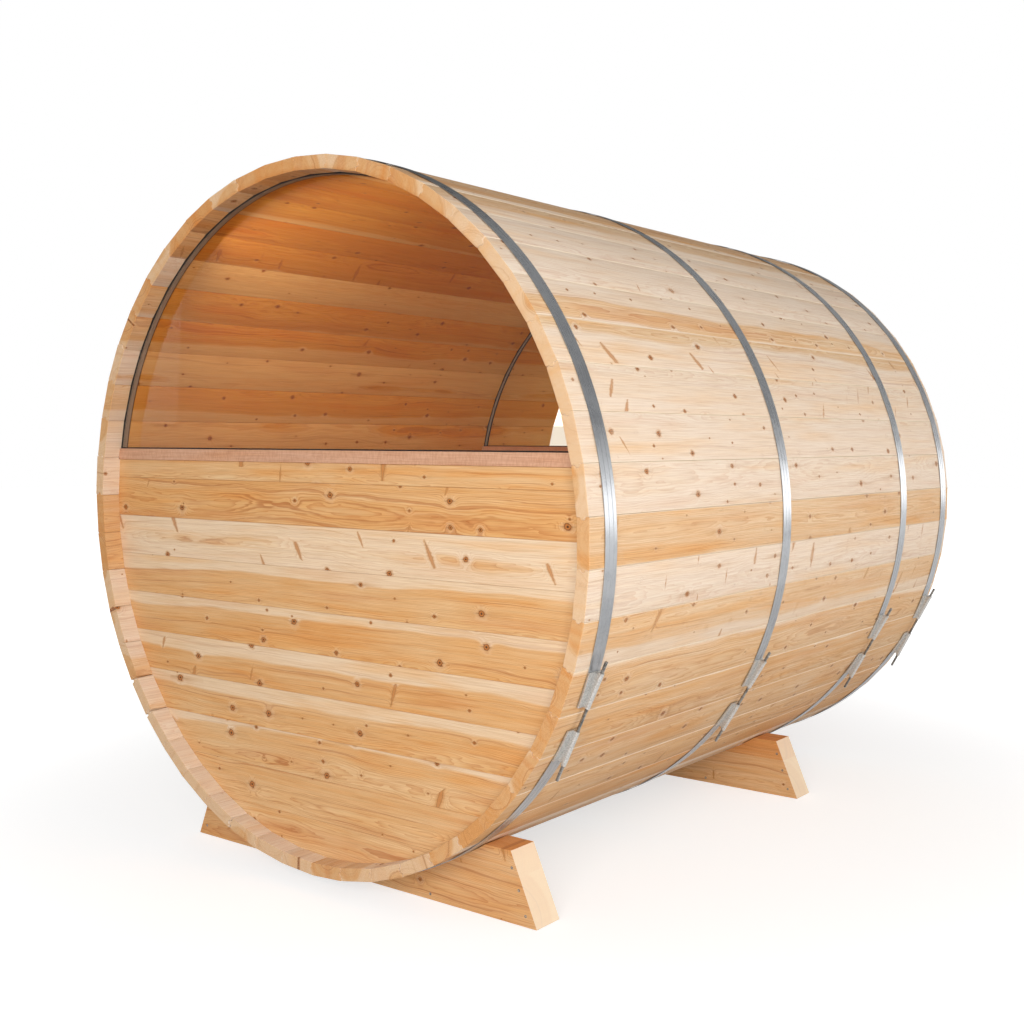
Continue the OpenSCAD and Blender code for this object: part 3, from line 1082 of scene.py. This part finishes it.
band_steel = metal_material(
    "Rolled band steel",
    linear(172, 174, 177),
    linear(188, 190, 193),
    rough=(0.22, 0.34),
    stretch=(6, 900, 200),
    bump_depth=0.0001,
    grain=12.0,
)
zinc = metal_material(
    "Cast zinc",
    linear(198, 197, 194),
    linear(240, 239, 236),
    rough=(0.38, 0.56),
    stretch=(420, 420, 420),
    bump_depth=0.0005,
    grain=260.0,
)
rod_steel = metal_material(
    "Threaded rod steel",
    linear(138, 135, 131),
    linear(184, 180, 175),
    rough=(0.2, 0.34),
    stretch=(300, 300, 300),
    bump_depth=0.0001,
    grain=60.0,
)
print("metals made:", band_steel.name, "|", zinc.name, "|", rod_steel.name)

# %% [markdown]
# ## Rolled hoops
# The band that draws the staves together isn't a plain strip. It is rolled with two
# shallow grooves that stiffen it, and its edges are rounded. The section is swept
# around the barrel from one side of the tightener's opening to the other.

# %% Rolled hoops
HOOP_STEPS = 300
GROOVE_AT = 0.36
GROOVE_HALF = 0.09
GROOVE_DEPTH = 0.35
INSIDE_THE_BOX = 0.0001


def band_section(half, thickness):
    """The hoop's section as (along the barrel, height above its inner face)."""
    soft = thickness * 0.35
    left = [(-half, 0.0), (-half, thickness - soft), (-half + soft, thickness)]
    for edge, share in ((-1.0, 0.0), (-0.6, 1.0), (0.6, 1.0), (1.0, 0.0)):
        place = -GROOVE_AT + edge * GROOVE_HALF
        left.append((half * place, thickness * (1 - GROOVE_DEPTH * share)))
    return left + [(-place, height) for place, height in reversed(left)]


def hoop_mesh(name, node):
    """Sweeps the section around the barrel, over the hoop's own stretch."""
    shell = corners(node)
    up = shell[:, 2] - axis_height
    out = np.hypot(shell[:, 0], up)
    low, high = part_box(node)
    middle = (low.y + high.y) / 2
    turns = np.sort(np.arctan2(shell[:, 0], up))
    steps = np.diff(turns)
    widest = int(np.argmax(steps))
    start = turns[widest + 1]
    stop = turns[widest] + 2 * math.pi
    thickness = out.max() - out.min() - INSIDE_THE_BOX
    profile = band_section((high.y - low.y) / 2, thickness)
    points = []
    for step in range(HOOP_STEPS + 1):
        turn = start + (stop - start) * step / HOOP_STEPS
        for place, height in profile:
            radius = out.min() + height
            x = radius * math.sin(turn)
            z = axis_height + radius * math.cos(turn)
            points.append((x, middle + place, z))
    faces = rings_to_faces(0, HOOP_STEPS + 1, len(profile))
    return new_mesh(name, points, faces), math.degrees(steps[widest])


for hoop in HOOPS:
    mesh, gap = hoop_mesh(hoop + "_rolled_hoop", hoop + "_hoop")
    place_piece(mesh, band_steel, "hoop_steel", hoop + "_hoop", smooth_angle=30)
    print(hoop, "hoop is open over", round(gap, 2), "degrees")

# %% [markdown]
# ## Threaded rods
# A screw thread is a ridge that climbs by one pitch a turn. Where the camera may come
# close it pays to make it as a mesh: rings of points run up the rod, and each point's
# radius follows a zigzag of its height and its angle, so the ridge winds by itself.

# %% Threaded rods
PITCH = 0.00125
ROWS_TO_A_PITCH = 4
THREAD_SIDES = 12
THREAD_DEPTH = 0.0007
TAPER = THREAD_DEPTH * 1.5


def rod_measure(hoop):
    """A rod's points, middle, direction, two directions square to it, and its radius."""
    shell = corners(hoop + "_rod")
    middle = shell.mean(axis=0)
    direction = Vector(np.linalg.svd(shell - middle)[2][0])
    direction = direction if direction.z > 0 else -direction
    middle = Vector(middle)
    side = Vector((0.0, 1.0, 0.0))
    radius = np.abs((shell - np.array(middle)) @ np.array(side)).max()
    return shell, middle, direction, side, direction.cross(side).normalized(), radius


def rod_mesh(name, hoop):
    """A rod whose radius follows the thread, with tapered ends."""
    shell, middle, direction, first_side, second_side, radius = rod_measure(hoop)
    heights = (shell - np.array(middle)) @ np.array(direction)
    low, high = heights.min(), heights.max()
    rows = int((high - low) / PITCH * ROWS_TO_A_PITCH)
    points = []
    for row in range(rows + 1):
        height = low + (high - low) * row / rows
        limit = radius - TAPER + min(height - low, high - height, TAPER)
        for number in range(THREAD_SIDES):
            turn = 2 * math.pi * number / THREAD_SIDES
            winding = (height / PITCH - number / THREAD_SIDES) % 1.0
            ridge = 1 - abs(2 * winding - 1)
            here = min(limit, radius - THREAD_DEPTH * (1 - ridge))
            side = first_side * math.cos(turn) + second_side * math.sin(turn)
            points.append(middle + direction * height + side * here)
    return new_mesh(name, points, rings_to_faces(0, rows + 1, THREAD_SIDES))


for hoop in HOOPS:
    mesh = rod_mesh(hoop + "_threaded_rod", hoop)
    place_piece(mesh, rod_steel, "threaded_steel", hoop + "_rod", smooth_angle=60)
print("faces on one rod:", len(mesh.polygons))

# %% [markdown]
# ## Chamfered nuts
# A nut is a hexagon whose corners are turned off on a lathe, which leaves the curved
# edge that everyone knows. Going round in small steps, the hexagon's own radius grows
# towards each corner, and the face falls away in step with it.

# %% Chamfered nuts
NUT_STEPS = 48
NUT_FACE = 0.97
BORE_FIT = 0.98


def nut_mesh(name, hoop):
    """Both nuts of a hoop, each on the rod's own axis."""
    middle, direction, first_side, second_side, rod_radius = rod_measure(hoop)[1:]
    bore = rod_radius * BORE_FIT
    points = []
    faces = []
    for shell in solids(hoop + "_nuts"):
        from_axis = shell - np.array(middle)
        heights = from_axis @ np.array(direction)
        flat = from_axis - np.outer(heights, np.array(direction))
        reach = np.linalg.norm(flat, axis=1)
        corner = Vector(flat[int(np.argmax(reach))])
        corner_turn = math.atan2(corner.dot(second_side), corner.dot(first_side))
        flat_radius = reach.max() * math.cos(math.pi / 6)
        face = flat_radius * NUT_FACE
        low, high = heights.min(), heights.max()
        base = len(points)
        for step in range(NUT_STEPS):
            turn = 2 * math.pi * step / NUT_STEPS
            within = (turn - corner_turn) % (math.pi / 3) - math.pi / 6
            hexagon = flat_radius / math.cos(within)
            fall = (hexagon - face) * math.tan(math.pi / 6)
            side = first_side * math.cos(turn) + second_side * math.sin(turn)
            profile = (
                (bore, low),
                (face, low),
                (hexagon, low + fall),
                (hexagon, high - fall),
                (face, high),
                (bore, high),
            )
            for radius, height in profile:
                points.append(middle + direction * height + side * radius)
        faces += rings_to_faces(base, NUT_STEPS, len(profile), all_round=True)
    return new_mesh(name, points, faces)


for hoop in HOOPS:
    mesh = nut_mesh(hoop + "_chamfered_nuts", hoop)
    place_piece(mesh, zinc, "threaded_steel", hoop + "_nuts", smooth_angle=25)
    set_finish(hoop + "_lugs", zinc)
print("nuts made:", 2 * len(HOOPS))

# %% [markdown]
# ## Cradle screws
# The cradles are held by screws with round dished heads. On each half of a cradle's
# near face three go up the sloping end and one sits low down. A screw head is turned on
# a lathe, so its profile is spun round its axis, and the two innermost rings of points
# are square and make the recess.

# %% Cradle screws
HEAD_RADIUS = 0.0045
HEAD_STEPS = 24
RECESS_SHARE = 0.5
RECESS_SQUARE = 0.75
SCREW_ROWS = ((0.77, 0.018), (0.48, 0.020), (0.15, 0.027))
LOW_SCREW = (0.35, 0.0175)
HEAD_PROFILE = (
    (1.0, -0.0004),
    (1.0, 0.0002),
    (0.86, 0.0007),
    (0.6, 0.0006),
    (0.4, 0.0004),
    (0.4, -0.0016),
)


def sloping_end(cradle, height):
    """How far out the cradle's end is at a height, on its straight slope."""
    beam = corners(cradle + "_cradle_beam")
    blocks = corners(cradle + "_cradle_blocks")
    foot = beam[beam[:, 2] < beam[:, 2].min() + 0.001][:, 0].max()
    top_height = beam[:, 2].max()
    top = beam[beam[:, 2] > top_height - 0.001][:, 0].max()
    return foot + (top - foot) * height / top_height, blocks[:, 2].max()


def screw_heads(name, cradle):
    """All the screw heads on a cradle's near face."""
    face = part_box(cradle + "_cradle_beam")[0].y
    whole_height = sloping_end(cradle, 0.0)[1]
    spots = [LOW_SCREW]
    for share, inset in SCREW_ROWS:
        height = share * whole_height
        spots.append((sloping_end(cradle, height)[0] - inset, height))
    spots += [(-x, z) for x, z in spots]
    points = []
    faces = []
    for number, (x, z) in enumerate(spots):
        base = len(points)
        for share, proud in HEAD_PROFILE:
            for step in range(HEAD_STEPS):
                turn = 2 * math.pi * step / HEAD_STEPS
                reach = HEAD_RADIUS * share
                if share < RECESS_SHARE:
                    quarter = (turn + number) % (math.pi / 2) - math.pi / 4
                    reach *= RECESS_SQUARE / math.cos(quarter)
                points.append((x + reach * math.cos(turn), face - proud, z + reach * math.sin(turn)))
        faces += rings_to_faces(base, len(HEAD_PROFILE), HEAD_STEPS)
    return new_mesh(name, points, faces), len(spots)


for cradle in ("near", "far"):
    mesh, count = screw_heads(cradle + "_cradle_screws", cradle)
    place_piece(mesh, rod_steel, "threaded_steel", smooth_angle=30)
    print(cradle, "cradle screws:", count)

# %% [markdown]
# ## The floor and the sky
# The floor is a plain pale sheet that takes the sauna's shadow and fades to white away
# from it. The sky is white where it is seen straight or through glass. Metal mirrors
# both a little darker, so that it keeps its shape, and the light that they throw on the
# sauna stays at a plain level. Light Path tells the shader which kind of ray asks.

# %% The floor and the sky
FLOOR_REACH = 30.0
FLOOR_GREY = (0.56, 0.56, 0.56)
WHITE = (1.0, 1.0, 1.0)


def seen(wire):
    """1 for rays that show the background itself: straight, mirrored or through glass."""
    ray = wire.add("ShaderNodeLightPath").outputs
    through = ray["Is Transmission Ray"]
    mirrored = wire.times(ray["Is Glossy Ray"], wire.minus(1.0, through))
    shown = wire.calc("MAXIMUM", ray["Is Camera Ray"], ray["Is Glossy Ray"])
    return wire.calc("MAXIMUM", shown, through), mirrored


floor_mesh = bpy.data.meshes.new("studio_floor")
shape = bmesh.new()
bmesh.ops.create_grid(shape, x_segments=8, y_segments=8, size=FLOOR_REACH)
shape.to_mesh(floor_mesh)
shape.free()
floor = add_object("studio_floor", floor_mesh)
floor.location.z = -0.001

floor_finish, wire = new_material("Pale studio floor")
shown, mirrored = seen(wire)
sheet = wire.add("ShaderNodeBsdfDiffuse", {"Color": FLOOR_GREY})
glow = wire.add("ShaderNodeEmission", {"Color": WHITE})
where = wire.place()
away = wire.add("ShaderNodeVectorMath", {0: where}, operation="LENGTH").outputs["Value"]
level = wire.ramp(away, 1.2, 4.2, 0.62, 1.0)
level = wire.times(level, wire.ramp(mirrored, 0.0, 1.0, 1.0, 0.6))
wire.feed(glow.inputs["Strength"], wire.times(shown, level))
both = wire.add("ShaderNodeAddShader")
wire.feed(both.inputs[0], sheet.outputs[0])
wire.feed(both.inputs[1], glow.outputs[0])
wire.finish("ShaderNodeOutputMaterial", both)
floor_mesh.materials.append(floor_finish)

world = bpy.data.worlds.new("Studio")
bpy.context.scene.world = world
world.use_nodes = True
wire = Wiring(world.node_tree)
shown, mirrored = seen(wire)
facing = wire.split(wire.add("ShaderNodeTexCoord").outputs["Generated"])
overhead = wire.ramp(facing[2], 0.05, 0.38, 1.0, 0.42)
front_left = wire.ramp(facing[0], -0.1, -0.5, 1.0, 0.25)
overhead = wire.times(overhead, front_left)
white = wire.mix(mirrored, WHITE, wire.vector(overhead, overhead, overhead))
ambient = wire.ramp(facing[2], 0.0, 0.8, 0.55, 0.34)
ambient = wire.times(ambient, wire.ramp(facing[1], 0.1, 0.8, 1.0, 0.4))
colour = wire.mix(shown, wire.vector(ambient, ambient, ambient), white)
sky = wire.add("ShaderNodeBackground", {"Color": colour, "Strength": 1.0})
wire.finish("ShaderNodeOutputWorld", sky)
print("floor and sky are set")

# %% [markdown]
# ## Soft lamps
# Large area lamps stand in for the soft boxes of a studio. The widest stands to the
# right at the barrel's own height, so the rounded side is brightest half way up, and
# the key stands to the front right and lights the end wall. A lamp's power has to grow
# with the square of its distance, so each is set by the share of white it gives. A
# small panel inside each pane stands for the daylight that comes in through it.

# %% Soft lamps
TARGET = Vector((0.0, 0.0, axis_height))


def soft_lamp(name, azimuth, elevation, distance, size, level, mirrored=True):
    """An area lamp that gives a facing white surface this level."""
    lamp = bpy.data.lights.new(name, "AREA")
    lamp.shape = "RECTANGLE"
    lamp.size, lamp.size_y = size
    lamp.energy = level * math.pi ** 2 * distance ** 2
    holder = add_object(name, lamp)
    turn = math.radians(azimuth)
    lift = math.radians(elevation)
    away = Vector((math.sin(turn) * math.cos(lift), -math.cos(turn) * math.cos(lift), math.sin(lift)))
    holder.location = TARGET + away * distance
    holder.rotation_euler = away.to_track_quat("Z", "Y").to_euler()
    holder.visible_glossy = mirrored
    return holder


soft_lamp("side_soft_box", 96.0, 2.0, 10.0, (6.0, 2.0), 0.28, mirrored=False)
soft_lamp("hoop_glint", 142.0, 3.0, 9.0, (5.0, 1.5), 0.07)
soft_lamp("key_soft_box", 34.0, 10.0, 7.0, (4.0, 3.0), 0.59, mirrored=False)
soft_lamp("left_fill", -70.0, 15.0, 9.0, (6.0, 4.0), 0.07, mirrored=False)
soft_lamp("back_fill", 212.0, 15.0, 9.0, (6.0, 4.0), 0.09, mirrored=False)

WINDOW_LIGHT = {"near": 1.9, "far": 0.3}
UPWARDS = {"near": 8.0, "far": 0.0}
PANEL_WIDTH = 0.5
PANEL_HEIGHT = 0.8
PANEL_CLEAR = 0.06
for wall, brightness in WINDOW_LIGHT.items():
    low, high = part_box(wall + "_glass")
    inwards = WALLS[wall][1]
    panel = bpy.data.lights.new(wall + "_window_light", "AREA")
    panel.shape = "RECTANGLE"
    panel.size = (high.x - low.x) * PANEL_WIDTH
    panel.size_y = (high.z - low.z) * PANEL_HEIGHT
    panel.energy = brightness * math.pi * panel.size * panel.size_y
    holder = add_object(wall + "_window_light", panel)
    middle = (low + high) / 2
    tilt = math.radians(UPWARDS[wall])
    clear = PANEL_CLEAR + panel.size_y / 2 * math.sin(tilt)
    holder.location = (0.0, middle.y + inwards * clear, middle.z - PANEL_CLEAR)
    holder.rotation_euler = ((math.pi / 2 + tilt) * inwards, 0.0, 0.0)
    holder.visible_camera = False
    holder.visible_glossy = False
    holder.visible_transmission = False
print("lamps:", len(bpy.data.lights))

# %% [markdown]
# ## The camera
# A long-ish lens a few metres away keeps the round end round. The camera is turned to
# its heading, tilted down a little and rolled a hair. A small lens shift does what a
# view camera does: it moves the picture in the frame and leaves the perspective alone.

# %% The camera
HEADING = math.radians(34.781)
TILT = math.radians(-5.715)
ROLL = math.radians(0.092)
CAMERA_PLACE = (2.9137, -3.6462, 1.3735)
LENS = 43.573
LENS_SHIFT = (-0.125, 0.0497)

camera = bpy.data.cameras.new("studio_camera")
camera.sensor_width = 36.0
camera.lens = LENS
camera.shift_x, camera.shift_y = LENS_SHIFT
camera.clip_end = 200.0
holder = add_object("studio_camera", camera)
turned = Matrix.Rotation(HEADING, 4, "Z") @ Matrix.Rotation(math.pi / 2 + TILT, 4, "X")
turned = turned @ Matrix.Rotation(ROLL, 4, "Z")
holder.matrix_world = Matrix.Translation(CAMERA_PLACE) @ turned
bpy.context.scene.camera = holder
bpy.context.scene.view_settings.view_transform = "Standard"
print("camera", round((holder.location - TARGET).length, 2), "m from the barrel's middle")
